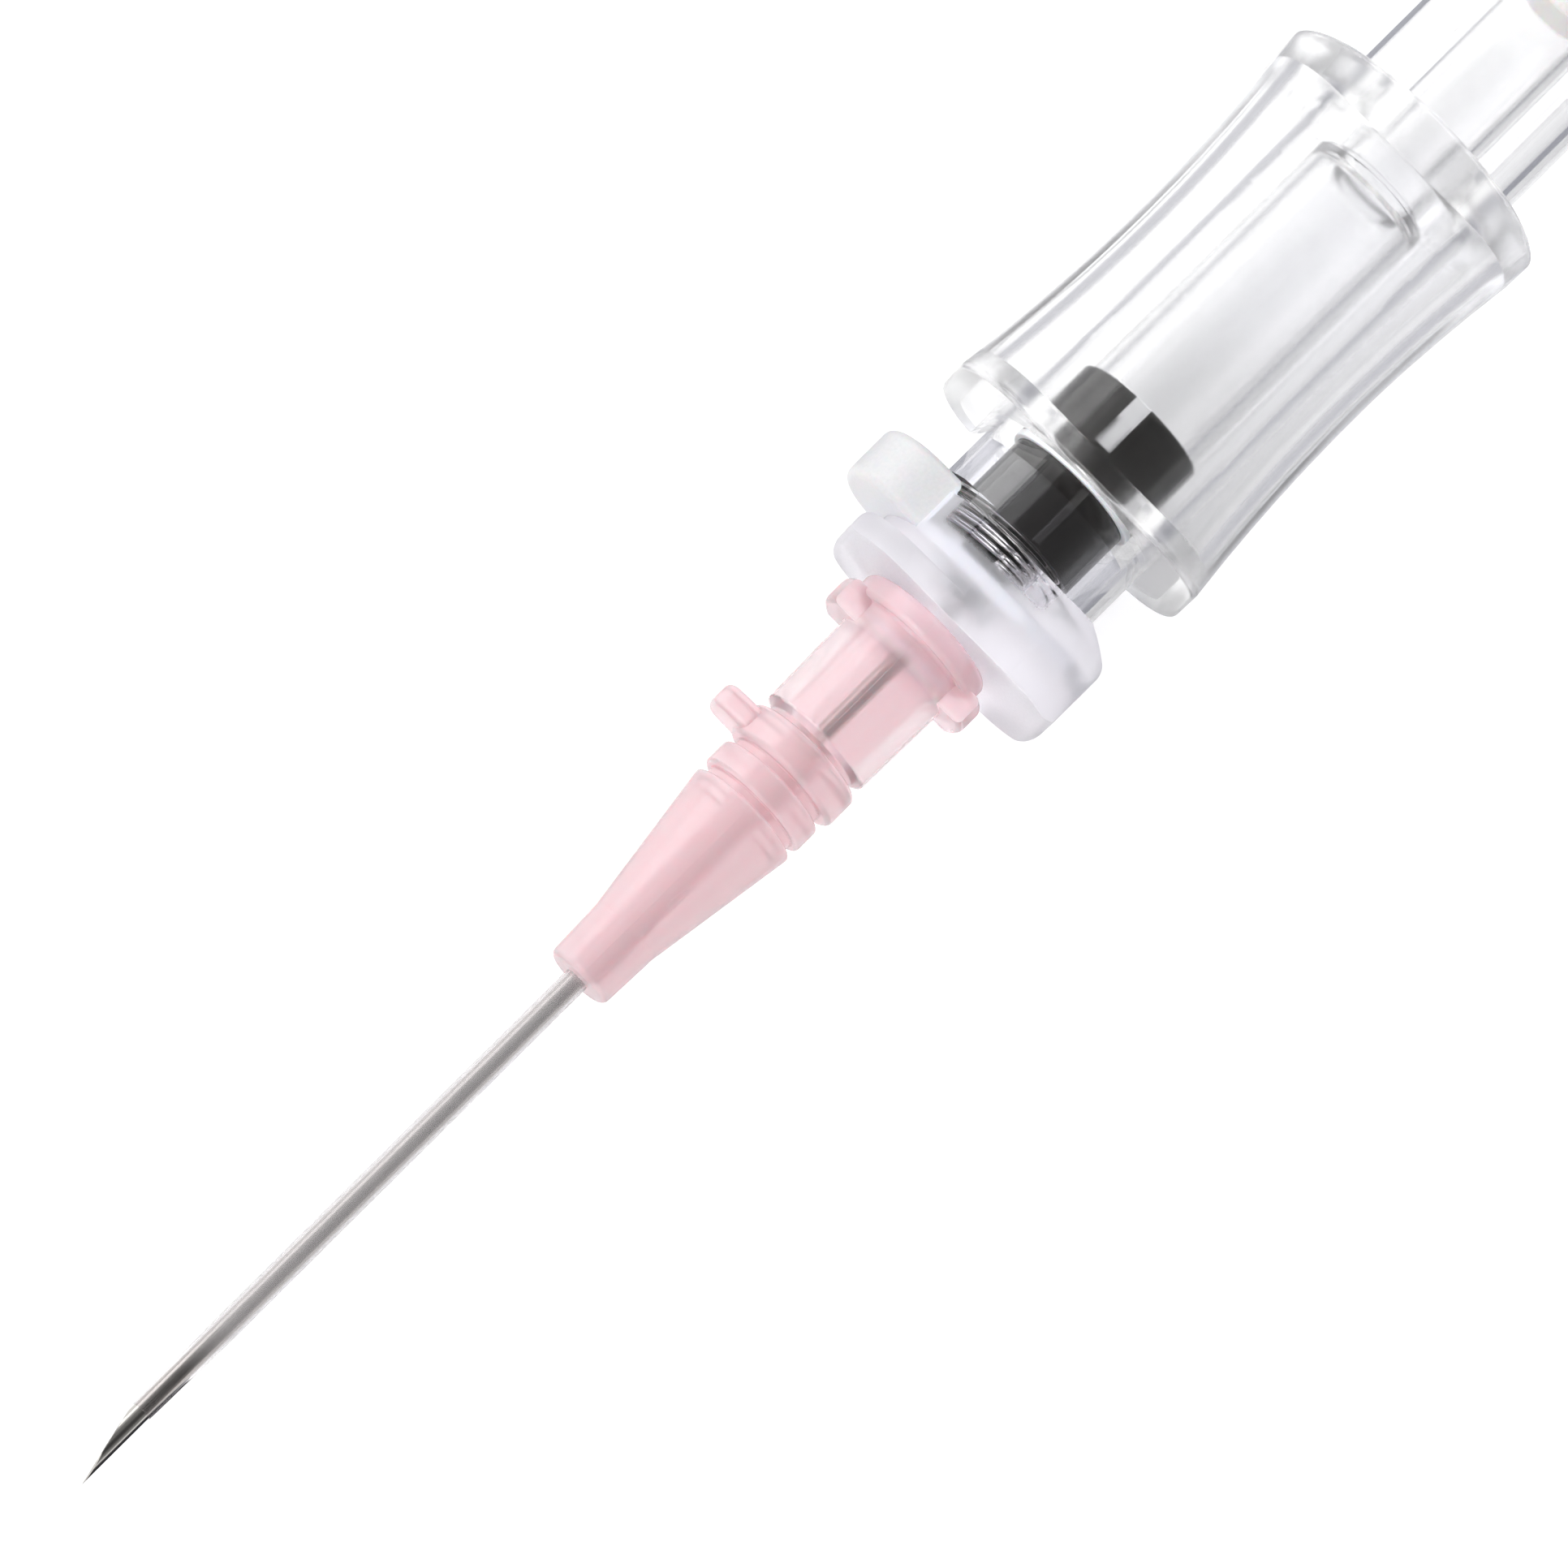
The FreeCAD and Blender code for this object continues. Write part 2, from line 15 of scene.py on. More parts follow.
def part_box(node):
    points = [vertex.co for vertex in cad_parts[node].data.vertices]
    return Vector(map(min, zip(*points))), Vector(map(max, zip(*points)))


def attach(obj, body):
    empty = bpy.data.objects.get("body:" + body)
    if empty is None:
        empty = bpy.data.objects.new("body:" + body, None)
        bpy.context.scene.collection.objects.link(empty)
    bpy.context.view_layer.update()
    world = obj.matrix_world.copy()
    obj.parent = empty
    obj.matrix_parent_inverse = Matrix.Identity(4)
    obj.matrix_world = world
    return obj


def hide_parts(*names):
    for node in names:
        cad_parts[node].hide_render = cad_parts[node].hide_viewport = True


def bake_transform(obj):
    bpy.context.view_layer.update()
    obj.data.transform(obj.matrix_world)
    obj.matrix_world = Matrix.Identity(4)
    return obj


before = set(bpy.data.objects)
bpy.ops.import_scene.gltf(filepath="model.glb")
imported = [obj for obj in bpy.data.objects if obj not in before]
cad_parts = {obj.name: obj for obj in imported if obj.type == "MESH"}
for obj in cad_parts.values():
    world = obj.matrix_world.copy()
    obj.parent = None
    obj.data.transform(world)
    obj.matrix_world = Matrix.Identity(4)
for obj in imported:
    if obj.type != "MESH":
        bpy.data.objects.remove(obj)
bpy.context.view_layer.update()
MM = 0.001

# %% [markdown]
# ## Camera
# The picture looks down on the cannula, with the needle's end tilted a little towards the lens and
# the whole thing turned so that it runs from the lower left to the upper right. It could be aimed
# with a constraint, but that leaves the roll of the picture to chance. So the camera's three axes
# are worked out from the tilt and the turn. A very long lens keeps the tube's edges parallel.

# %% Camera
AXIS_Z = 5.4  # height of the needle's axis over the table, in millimetres
TILT = math.radians(11.0)
TURN = math.radians(44.8)
LOOK_AT = Vector((-27.6, -0.31, AXIS_Z)) * MM
VIEW_WIDTH = 64.4 * MM
LENS = 500.0
SENSOR = 36.0
NEAREST = 0.01  # metres from the camera between which things are drawn
FARTHEST = 10.0

along = Vector((math.cos(TILT), 0, math.sin(TILT)))
across = Vector((0, 1, 0))
right = along * math.cos(TURN) - across * math.sin(TURN)
up = along * math.sin(TURN) + across * math.cos(TURN)
back = right.cross(up)
distance = VIEW_WIDTH * LENS / SENSOR

camera = bpy.data.objects.new("camera", bpy.data.cameras.new("camera"))
bpy.context.scene.collection.objects.link(camera)
camera.data.lens = LENS
camera.data.sensor_width = SENSOR
camera.data.clip_start = NEAREST
camera.data.clip_end = FARTHEST
turned_axes = Matrix((right, up, back)).transposed()
camera.matrix_world = Matrix.Translation(LOOK_AT + back * distance) @ turned_axes.to_4x4()
bpy.context.scene.camera = camera
bpy.context.scene.view_settings.view_transform = "Standard"
print("camera distance in metres:", round(distance, 3))

# %% [markdown]
# ## Light that passes many walls
# A ray that looks through the grip meets the grip, the barrel, the chamber and all of them again on
# its way out. With the usual limit of twelve bounces such a ray ends black in the middle of clear
# plastic. The limit is raised, which costs little, because most rays leave much earlier.

# %% Bounces
MOST_WALLS = 40

cycles = bpy.context.scene.cycles
cycles.max_bounces = MOST_WALLS
cycles.transmission_bounces = MOST_WALLS
cycles.transparent_max_bounces = MOST_WALLS
cycles.glossy_bounces = MOST_WALLS // 2
print("a ray may cross", MOST_WALLS, "walls")

# %% [markdown]
# ## Helpers for materials
# Every finish is a small node tree. One function adds a node, gives it its settings, and fills or
# links its sockets, so that each material reads as a short list of steps. Colours are picked as hex
# values on a screen, and shaders work in linear light, so one function turns the one into the other.

# %% Nodes and colours
def linear(hex_value):
    """An sRGB hex colour as the linear RGBA that a shader socket takes."""
    parts = [int(hex_value[i : i + 2], 16) / 255 for i in (1, 3, 5)]
    lin = [c / 12.92 if c <= 0.04045 else ((c + 0.055) / 1.055) ** 2.4 for c in parts]
    return (*lin, 1.0)


def add_node(tree, kind, sockets=None, **settings):
    """Adds a node, applies its settings, and fills or links the sockets that are named."""
    node = tree.nodes.new(kind)
    for name, value in settings.items():
        setattr(node, name, value)
    for name, value in (sockets or {}).items():
        if isinstance(value, bpy.types.NodeSocket):
            tree.links.new(value, node.inputs[name])
        else:
            node.inputs[name].default_value = value
    return node


def new_material(name):
    """An empty material, with its node tree and its output node."""
    material = bpy.data.materials.new(name)
    material.use_nodes = True
    material.node_tree.nodes.clear()
    output = material.node_tree.nodes.new("ShaderNodeOutputMaterial")
    return material, material.node_tree, output


print("half grey on a screen is", round(linear("#808080")[0], 3), "in linear light")

# %% [markdown]
# ## Where a finish changes
# Several finishes change from place to place: a card fades out, a flange is frosted and the boss
# before it is not. A painted mask would need an unwrapped surface. The place of a point on the object
# is at hand in every material, in metres, so a soft step on one of its axes makes each such mask.

# %% Place and step
def place_on_object(tree):
    """The x, y and z of a surface point, as outputs with those names."""
    place = add_node(tree, "ShaderNodeTexCoord")
    return add_node(tree, "ShaderNodeSeparateXYZ", {0: place.outputs["Object"]}).outputs


def step(tree, value, place_mm, width_mm, rising):
    """0 to 1 across a place on an axis in millimetres, or 1 to 0."""
    low, high = (0.0, 1.0) if rising else (1.0, 0.0)
    sockets = {
        "Value": value,
        "From Min": (place_mm - width_mm / 2) * MM,
        "From Max": (place_mm + width_mm / 2) * MM,
        "To Min": low,
        "To Max": high,
    }
    return add_node(tree, "ShaderNodeMapRange", sockets).outputs[0]


print("places are given in millimetres, of", MM, "m each")

# %% [markdown]
# ## Table
# The object lies on a white laminate table. A white that is only lit would need so much light that
# the pale plastics clip. So the table also glows a little for rays that come from the camera and from
# gloss, while its lit part still takes the object's soft shadow. Sixteen clear surfaces, one behind
# the other, mirror away nearly half the light, so what is seen through them glows a little more.

# %% Table laminate
TABLE_ALBEDO = "#DCDCDC"
TABLE_GLOW = 0.52
GLOW_BEHIND_WALLS = 0.66

table_material, tree, output = new_material("white_table_laminate")
path = add_node(tree, "ShaderNodeLightPath")
seen = add_node(
    tree,
    "ShaderNodeMath",
    {0: path.outputs["Is Camera Ray"], 1: path.outputs["Is Glossy Ray"]},
    operation="MAXIMUM",
)
glow = add_node(
    tree, "ShaderNodeMath", {0: seen.outputs[0], 1: TABLE_GLOW}, operation="MULTIPLY"
)
behind = add_node(
    tree,
    "ShaderNodeMath",
    {0: path.outputs["Is Transmission Ray"], 1: GLOW_BEHIND_WALLS},
    operation="MULTIPLY",
)
glow = add_node(
    tree, "ShaderNodeMath", {0: glow.outputs[0], 1: behind.outputs[0]}, operation="MAXIMUM"
)
lit = add_node(tree, "ShaderNodeBsdfDiffuse", {"Color": linear(TABLE_ALBEDO)})
shine = add_node(tree, "ShaderNodeEmission", {"Strength": glow.outputs[0]})
both = add_node(tree, "ShaderNodeAddShader", {0: lit.outputs[0], 1: shine.outputs[0]})
tree.links.new(both.outputs[0], output.inputs["Surface"])
print("table glows", TABLE_GLOW, "and reflects", TABLE_ALBEDO)

# %% [markdown]
# ## From built geometry to an object
# The table, the cards, the spring and a ring are built from points and faces in a bmesh. Ready-made
# operators would add objects too, but they work on whatever is active at the time. So one helper
# turns a finished bmesh into a mesh, hangs that on an object in the scene, gives it its material,
# and hands it back.

# %% Lay the table
TABLE_SIZE = 2.0
TABLE_GAP = 0.1  # millimetres of air under the grip's flat face, or the two would flicker


def add_object(bm, name, material):
    """An object in the scene with the bmesh's geometry and one material."""
    mesh = bpy.data.meshes.new(name)
    bm.to_mesh(mesh)
    bm.free()
    added = bpy.data.objects.new(name, mesh)
    bpy.context.scene.collection.objects.link(added)
    mesh.materials.append(material)
    return added


bm = bmesh.new()
bmesh.ops.create_grid(bm, x_segments=1, y_segments=1, size=TABLE_SIZE)
bmesh.ops.translate(bm, vec=(0, 0, -TABLE_GAP * MM), verts=bm.verts)
table = add_object(bm, "table", table_material)
print("table of", len(table.data.polygons), "face")

# %% [markdown]
# ## Room
# Clear plastic shows only what it reflects and bends, so the room round it matters more than its
# colour. Light that is thrown back up inside the walls should not come from black everywhere, or
# hard black flecks appear in them. But what stands straight overhead is mirrored in the black hub
# and in four clear walls before it. So this room is light at the horizon, dim overhead and on the
# side away from the window, and light again at both ends, which a tube never mirrors upwards.

# %% Level of the room by direction
OVERHEAD = 0.14
HORIZON = 0.75
SHADED_SIDE = 0.55
ENDS = 0.8
TOP_OF_RISE = 0.85  # height of a direction, from 0 at the horizon to 1 overhead
SHADED_UP_TO = -0.5  # directions along Y between which the room grows light
LIGHT_FROM = 0.2
ENDS_FROM = 0.3  # directions along X between which the ends grow light
ENDS_FULL = 0.75

world = bpy.data.worlds.new("studio")
bpy.context.scene.world = world
world.use_nodes = True
tree = world.node_tree
tree.nodes.clear()
direction = add_node(tree, "ShaderNodeTexCoord")
parts = add_node(tree, "ShaderNodeSeparateXYZ", {0: direction.outputs["Generated"]})
rise = add_node(
    tree,
    "ShaderNodeMapRange",
    {
        "Value": parts.outputs["Z"],
        "From Min": 0.0,
        "From Max": TOP_OF_RISE,
        "To Min": HORIZON,
        "To Max": OVERHEAD,
    },
    interpolation_type="SMOOTHSTEP",
)
side = add_node(
    tree,
    "ShaderNodeMapRange",
    {
        "Value": parts.outputs["Y"],
        "From Min": SHADED_UP_TO,
        "From Max": LIGHT_FROM,
        "To Min": SHADED_SIDE,
        "To Max": 1.0,
    },
    interpolation_type="SMOOTHSTEP",
)
off_middle = add_node(tree, "ShaderNodeMath", {0: parts.outputs["X"]}, operation="ABSOLUTE")
ends = add_node(
    tree,
    "ShaderNodeMapRange",
    {
        "Value": off_middle.outputs[0],
        "From Min": ENDS_FROM,
        "From Max": ENDS_FULL,
        "To Max": ENDS,
    },
    interpolation_type="SMOOTHSTEP",
)
print("room: horizon", HORIZON, "overhead", OVERHEAD, "ends", ENDS)

# %% [markdown]
# ## What each ray sees of the room
# The rise from overhead to the horizon is dimmed on the shaded side, and the ends are laid over it.
# Rays that come out of clear plastic never see less than a small level, which takes the rest of the
# black out of the walls. The camera itself sees plain white behind the table.

# %% Studio world
SEEN_THROUGH = 0.15

output = tree.nodes.new("ShaderNodeOutputWorld")
path = add_node(tree, "ShaderNodeLightPath")
level = add_node(
    tree, "ShaderNodeMath", {0: rise.outputs[0], 1: side.outputs[0]}, operation="MULTIPLY"
)
through = add_node(
    tree,
    "ShaderNodeMath",
    {0: path.outputs["Is Transmission Ray"], 1: SEEN_THROUGH},
    operation="MULTIPLY",
)
for brighter in (ends.outputs[0], through.outputs[0], path.outputs["Is Camera Ray"]):
    level = add_node(
        tree, "ShaderNodeMath", {0: level.outputs[0], 1: brighter}, operation="MAXIMUM"
    )
sky = add_node(tree, "ShaderNodeBackground", {"Strength": level.outputs[0]})
tree.links.new(sky.outputs[0], output.inputs["Surface"])
print("rays out of clear plastic see at least", SEEN_THROUGH)

# %% [markdown]
# ## Papers for the cards and for painted shade
# Near its edges a clear tube throws the view outwards, onto the table beside it. On a white table
# the edge is then white on white and cannot be seen. Photographers of glass lay dark cards beside
# it, and the walls get clean grey lines. A card could simply end, but its end would show as a hard
# edge in the clear walls. So these papers turn clear away from the object. The painted shade under
# the object is made of the same paper; with less cover it lets part of the table shine through.

# %% Card papers
FADE_FROM = 12.0  # millimetres from the needle's axis
FADE_TO = 45.0


def card_paper(name, hex_colour, cover=1.0):
    """Matt card that turns clear away from the object; cover below 1 lets part of the table through.
    """
    material, tree, output = new_material(name)
    paper = add_node(tree, "ShaderNodeBsdfDiffuse", {"Color": linear(hex_colour)})
    nothing = add_node(tree, "ShaderNodeBsdfTransparent")
    sideways = place_on_object(tree)["Y"]
    away = add_node(tree, "ShaderNodeMath", {0: sideways}, operation="ABSOLUTE")
    fade = add_node(
        tree,
        "ShaderNodeMapRange",
        {
            "Value": away.outputs[0],
            "From Min": FADE_FROM * MM,
            "From Max": FADE_TO * MM,
            "To Min": 1 - cover,
        },
        interpolation_type="SMOOTHSTEP",
    )
    card = add_node(
        tree,
        "ShaderNodeMixShader",
        {0: fade.outputs[0], 1: paper.outputs[0], 2: nothing.outputs[0]},
    )
    tree.links.new(card.outputs[0], output.inputs["Surface"])
    return material


dark_card = card_paper("dark_card_paper", "#3C3B40")
grey_card = card_paper("grey_card_paper", "#A2A3AC")
pale_card = card_paper("pale_card_paper", "#D2D2D8")
# The last two papers are painted shade, seen only through the clear walls: they stand in for the
# object's soft shade under it.
painted_shade_card = card_paper("painted_shade_card_paper", "#EFEFEE")
painted_shade_thin_paper = card_paper("painted_shade_thin_paper", "#EFEFEE", cover=0.42)
print("papers:", [m.name for m in bpy.data.materials if m.name.endswith("paper")])

# %% [markdown]
# ## Cards beside and under the object
# Grey cards lie along both sides of the barrel and pale ones along the grip, whose walls are thick
# and show them strongly. One dark card lies close to the needle's tip, for the dark band on its
# ground face. White paper under the side away from the window, and thinner paper under the middle,
# are painted shade: they stand for the object's own soft shade, which the glowing table would drown.
# The camera does not see the cards, and they neither light nor shade anything.

# %% Lay the cards
CARD_LIFT = 0.05
CARD_WIDTH = 60.0
CARDS_FROM = 9.0  # where the side cards begin, in millimetres from the needle's axis
BARREL_SIDE = 3.9
# The thinner paper of painted shade reaches this far on the window's side of the axis.
PAST_THE_MIDDLE = 3.0  # how far the tracing paper reaches on the window's side of the axis
CARDS_REAR = 82.0
UNDER_THE_GRIP = -TABLE_GAP / 2


def lay_card(name, paper, front, rear, near, side, width=CARD_WIDTH, lift=CARD_LIFT):
    """A flat card on the table from near outwards, on the side that is 1 or -1 along Y."""
    bm = bmesh.new()
    bmesh.ops.create_grid(bm, x_segments=1, y_segments=1, size=0.5)
    bmesh.ops.scale(bm, vec=((rear - front) * MM, width * MM, 1), verts=bm.verts)
    middle = Vector(((front + rear) / 2, side * (near + width / 2), lift))
    bmesh.ops.translate(bm, vec=middle * MM, verts=bm.verts)
    card = add_object(bm, name, paper)
    card.visible_camera = False
    card.visible_diffuse = False
    card.visible_shadow = False


lay_card("card_tip", dark_card, front=-75.0, rear=-61.5, near=1.0, side=-1)
for name, paper, front, rear in (
    ("card_drum", grey_card, -16.0, -10.8),
    ("card_grip", pale_card, -10.8, 10.9),
    ("card_barrel", grey_card, 10.9, 140.0),
):
    lay_card(name + "_left", paper, front, rear, CARDS_FROM, 1)
    lay_card(name + "_right", paper, front, rear, CARDS_FROM, -1)
# Painted shade: white paper under the side away from the window, seen only through the clear walls.
lay_card(
    "card_painted_shade_side",
    painted_shade_card,
    front=-19.8,
    rear=CARDS_REAR,
    near=BARREL_SIDE,
    side=-1,
    width=CARDS_FROM - BARREL_SIDE,
    lift=UNDER_THE_GRIP,
)
# Painted shade: thinner paper under the middle, with part of the table shining through it.
lay_card(
    "card_painted_shade_middle",
    painted_shade_thin_paper,
    front=-10.0,
    rear=CARDS_REAR,
    near=-PAST_THE_MIDDLE,
    side=-1,
    width=PAST_THE_MIDDLE + BARREL_SIDE,
    lift=UNDER_THE_GRIP,
)

# %% [markdown]
# ## Lamps
# Four soft boxes. A long low one on the button's side is the window that shows as a bright band in
# the black hub and as fine lines along the tubes. A high one beyond the needle's tip lights the
# faces that look forwards, such as the front of the button, and one behind the barrel's rear fills
# in from the other end. The tubes never mirror either of them upwards, so they light the object
# without greying the black hub. A weak one overhead lays the soft highlight along the pink hub.
# Together with the room they come to a little under 1, so that a colour renders about as written.

# %% Soft boxes
def soft_box(name, place, size, power):
    """A rectangular area lamp that points at the origin, which is under the grip."""
    lamp = bpy.data.lights.new(name, "AREA")
    lamp.shape = "RECTANGLE"
    lamp.size, lamp.size_y = size
    lamp.energy = power
    holder = bpy.data.objects.new(name, lamp)
    bpy.context.scene.collection.objects.link(holder)
    holder.location = place
    holder.rotation_euler = (-holder.location).to_track_quat("-Z", "Y").to_euler()
    return holder


soft_box("window", place=Vector((0.10, 0.56, 0.305)), size=(0.8, 0.43), power=1.7)
soft_box("front_box", place=Vector((-0.42, 0.12, 0.42)), size=(0.4, 0.3), power=1.4)
soft_box("rear_box", place=Vector((0.50, -0.05, 0.40)), size=(0.4, 0.3), power=1.1)
soft_box("top_box", place=Vector((0.12, 0.30, 0.57)), size=(0.5, 0.2), power=0.12)

# %% [markdown]
# ## Grain of a surface
# No moulded or drawn surface is perfectly even. The tool's skin prints a fine relief on plastic,
# and a die leaves lines along a drawn tube. An image texture could hold that, but noise in object
# coordinates has a real size and needs no unwrapping. Stretched along the tube it becomes die lines.
# One helper gives the noise, for roughness or tint, and another the relief that it makes.

# %% Grain
EVEN = (1.0, 1.0, 1.0)
ALONG = (0.02, 1.0, 1.0)  # fifty times longer along the needle's axis than across it
NOISE_DETAIL = 2.0
NOISE_LOW = 0.3  # most of the noise lies between these two
NOISE_HIGH = 0.7


def grain(tree, size, stretch=EVEN):
    """Noise of a size in millimetres; a stretch below 1 draws it out."""
    place = add_node(tree, "ShaderNodeTexCoord")
    drawn = add_node(
        tree, "ShaderNodeMapping", {"Vector": place.outputs["Object"], "Scale": stretch}
    )
    noise = add_node(
        tree,
        "ShaderNodeTexNoise",
        {"Vector": drawn.outputs[0], "Scale": 1 / (size * MM), "Detail": NOISE_DETAIL},
    )
    return noise.outputs["Fac"]


def relief(tree, noise, depth):
    """The normal of a surface that the noise raises by a depth in millimetres."""
    bump = add_node(tree, "ShaderNodeBump", {"Height": noise, "Distance": depth * MM})
    return bump.outputs["Normal"]


def spread(tree, value, low, high):
    """Turns a noise value, which stays near the middle, into a range from low to high."""
    sockets = {
        "Value": value,
        "From Min": NOISE_LOW,
        "From Max": NOISE_HIGH,
        "To Min": low,
        "To Max": high,
    }
    return add_node(tree, "ShaderNodeMapRange", sockets).outputs[0]


print("die lines are drawn out", round(1 / ALONG[0]), "times")

# %% [markdown]
# ## Clear plastics
# The barrel is an extruded tube, the grip, the nose and the chamber are moulded. All four are clear,
# so their colour is nearly pure white: light crosses a dozen walls, and any tint is multiplied by
# itself that often. A glass shader alone would cast a black shadow. For shadow rays each clear
# plastic is simply transparent, so that lamp light reaches the works inside.

# %% Clear plastics
def let_light_through(tree, body, output, tint):
    """Sends the body to the output, but for shadow rays it is only a tinted pane."""
    path = add_node(tree, "ShaderNodeLightPath")
    pane = add_node(tree, "ShaderNodeBsdfTransparent", {"Color": linear(tint)})
    mixed = add_node(
        tree,
        "ShaderNodeMixShader",
        {0: path.outputs["Is Shadow Ray"], 1: body.outputs[0], 2: pane.outputs[0]},
    )
    tree.links.new(mixed.outputs[0], output.inputs["Surface"])


CLEAR_TINT = "#FEFEFE"
CLEAR_SHADE = "#FDFDFE"
HAZE = 0.2  # roughness where a moulding is thick and cooled slowly
HAZE_EDGE = 1.5  # width of the step to it, in millimetres


def clear_plastic(name, ior, rough, size, depth, stretch=EVEN, hazy_ends=()):
    """A clear wall with the grain of the way it was made; its ends may be hazy."""
    material, tree, output = new_material(name)
    noise = grain(tree, size, stretch)
    roughness = spread(tree, noise, *rough)
    for end_mm, rising in hazy_ends:
        thick = step(tree, place_on_object(tree)["X"], end_mm, HAZE_EDGE, rising)
        roughness = add_node(
            tree, "ShaderNodeMapRange", {"Value": thick, "To Min": roughness, "To Max": HAZE}
        ).outputs[0]
    body = add_node(
        tree,
        "ShaderNodeBsdfPrincipled",
        {
            "Base Color": linear(CLEAR_TINT),
            "Roughness": roughness,
            "IOR": ior,
            "Transmission Weight": 1.0,
            "Normal": relief(tree, noise, depth),
        },
    )
    let_light_through(tree, body, output, CLEAR_SHADE)
    return material


GRIP_FRONT_WALL = -9.2
GRIP_REAR_WALL = 7.9
FLOWED = (0.5, 1.0, 1.0)

# Butyrate tube, extruded: glossy, with die lines about 0.4 mm apart along it
clear_barrel = clear_plastic(
    "butyrate_extruded_clear", ior=1.48, rough=(0.0, 0.03), size=0.4, depth=0.0006, stretch=ALONG
)
# Acrylic, injection moulded: long soft waves where the melt flowed, a faint haze that softens the
# lines behind it, and thick ends that blur them
clear_grip = clear_plastic(
    "acrylic_moulded_clear",
    ior=1.49,
    rough=(0.08, 0.14),
    size=2.5,
    depth=0.0015,
    stretch=FLOWED,
    hazy_ends=((GRIP_FRONT_WALL, False), (GRIP_REAR_WALL, True)),
)
# Polypropylene, moulded and clarified: hazier than acrylic, so its edges are soft
clear_chamber = clear_plastic(
    "polypropylene_moulded_clear", ior=1.43, rough=(0.1, 0.18), size=1.2, depth=0.0004
)
print("clear plastics:", clear_barrel.name, clear_grip.name, clear_chamber.name)

# %% [markdown]
# ## Nose housing
# One polycarbonate moulding with two faces. Its flange was moulded against an eroded, matt tool, so
# that fingers hold it, and looks like frosted glass. The boss before it, the spigot behind it and a
# window over the spring's pocket are polished. One material does it all, because it is one piece:
# roughness and haze follow the place on the object, with a soft step from frosted to polished.

# %% Frosted and polished polycarbonate
FLANGE_FRONT = -19.6
FLANGE_REAR = -14.55
POCKET_FRONT = -15.75
POCKET_SIDE = 2.7
EDGE = 0.3  # width of the step from polished to frosted
ERODED_GRAIN = 0.12
FROST = (0.32, 0.42)
POLISH = 0.04
FROSTED_CLEARNESS = 0.72


def housing_plastic():
    """Polycarbonate with a frosted flange, polished elsewhere and over the spring's pocket."""
    material, tree, output = new_material("polycarbonate_moulded_half_frosted")
    noise = grain(tree, ERODED_GRAIN)
    place = place_on_object(tree)
    off_middle = add_node(tree, "ShaderNodeMath", {0: place["Y"]}, operation="ABSOLUTE")
    boss = step(tree, place["X"], FLANGE_FRONT, EDGE, False)
    spigot = step(tree, place["X"], FLANGE_REAR, EDGE, True)
    behind_pocket = step(tree, place["X"], POCKET_FRONT, EDGE, True)
    over_pocket = step(tree, off_middle.outputs[0], POCKET_SIDE, EDGE, False)
    polished = add_node(
        tree, "ShaderNodeMath", {0: behind_pocket, 1: over_pocket}, operation="MULTIPLY"
    ).outputs[0]
    for more in (boss, spigot):
        polished = add_node(
            tree, "ShaderNodeMath", {0: polished, 1: more}, operation="MAXIMUM"
        ).outputs[0]
    frost = spread(tree, noise, *FROST)
    rough = add_node(
        tree, "ShaderNodeMapRange", {"Value": polished, "To Min": frost, "To Max": POLISH}
    )
    clear = add_node(
        tree, "ShaderNodeMapRange", {"Value": polished, "To Min": FROSTED_CLEARNESS, "To Max": 1.0}
    )
    body = add_node(
        tree,
        "ShaderNodeBsdfPrincipled",
        {
            "Base Color": linear("#F6F6FA"),
            "Roughness": rough.outputs[0],
            "IOR": 1.585,
            "Transmission Weight": clear.outputs[0],
        },
    )
    let_light_through(tree, body, output, "#FAFAFC")
    return material


clear_housing = housing_plastic()
print("frosted from", FLANGE_FRONT, "to", FLANGE_REAR, "mm")

# %% [markdown]
# ## Pink hub
# Polypropylene with a little pink pigment. In the thick cone the light scatters so much that the
# plastic looks milky, and in the thin neck it still passes. Volume scattering would be truest, but
# is slow and noisy in so small a part. Subsurface scattering with some transmission gives the same
# look, and the transmission rises where the wall gets thin.

# %% Pink polypropylene
NECK_FRONT = -25.9
NECK_REAR = -20.6
NECK_EDGE = 1.0  # width of the step from milky to clear
NECK_CLEARNESS = 0.85
CONE_CLEARNESS = 0.5
NECK_GLOSS = 0.12
CONE_GLOSS = (0.18, 0.26)
PINK_GRAIN = 0.8
PINK_DEPTH = 1.2  # how far light spreads inside, in millimetres
PINK_SPREAD = (1.0, 0.55, 0.6)  # share of that depth for red, green and blue


